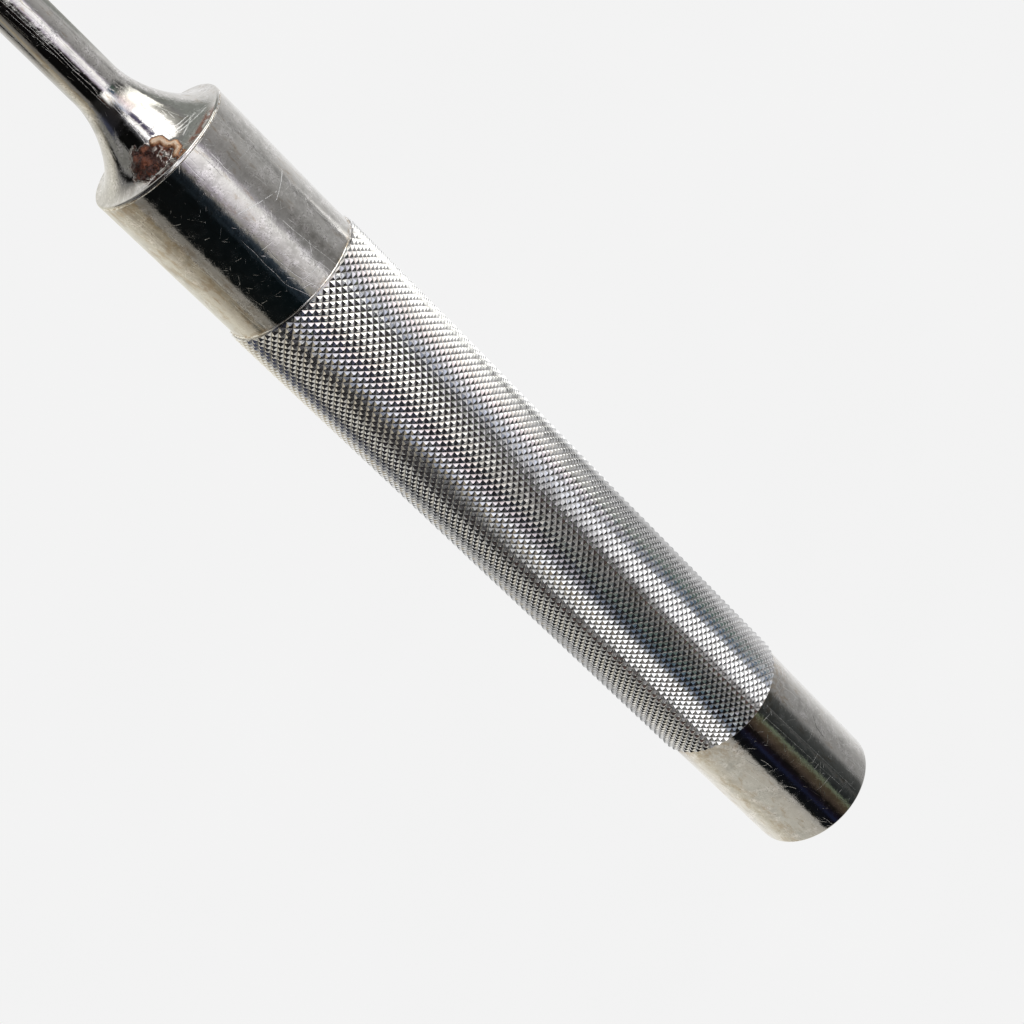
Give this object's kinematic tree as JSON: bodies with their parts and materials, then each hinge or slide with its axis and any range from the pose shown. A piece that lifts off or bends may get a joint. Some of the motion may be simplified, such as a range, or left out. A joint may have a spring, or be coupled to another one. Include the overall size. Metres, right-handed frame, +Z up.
{
  "type": "dental elevator",
  "caption": "Straight dental elevator: a gouge blade on a round shank that flares into a hollow cylindrical handle, knurled along its grip between a smooth collar and a smooth butt.",
  "frame": {"origin": "centre of the butt's flat end face, on the handle's axis", "axes": "+X along the instrument towards the blade's tip, +Z up, on the side of the blade's hollow; the instrument lies on its grip"},
  "size_m": [0.154, 0.0125, 0.0124],
  "materials": {
    "polished_steel": "mirror polish, worn and finely scratched",
    "knurled_steel": "fine diamond knurl, bright",
    "inner_steel": "as turned",
    "silver_solder": "bright, filed flush"
  },
  "bodies": {
    "root": {"butt_cap": "polished_steel", "front_collar": "polished_steel", "working_end": "polished_steel", "grip_sleeve": "knurled_steel", "core_tube": "inner_steel", "tang_pin": "inner_steel", "rim_solder_ring": "silver_solder", "collar_solder_ring": "silver_solder", "butt_solder_ring": "silver_solder"}
  },
  "joints": []
}
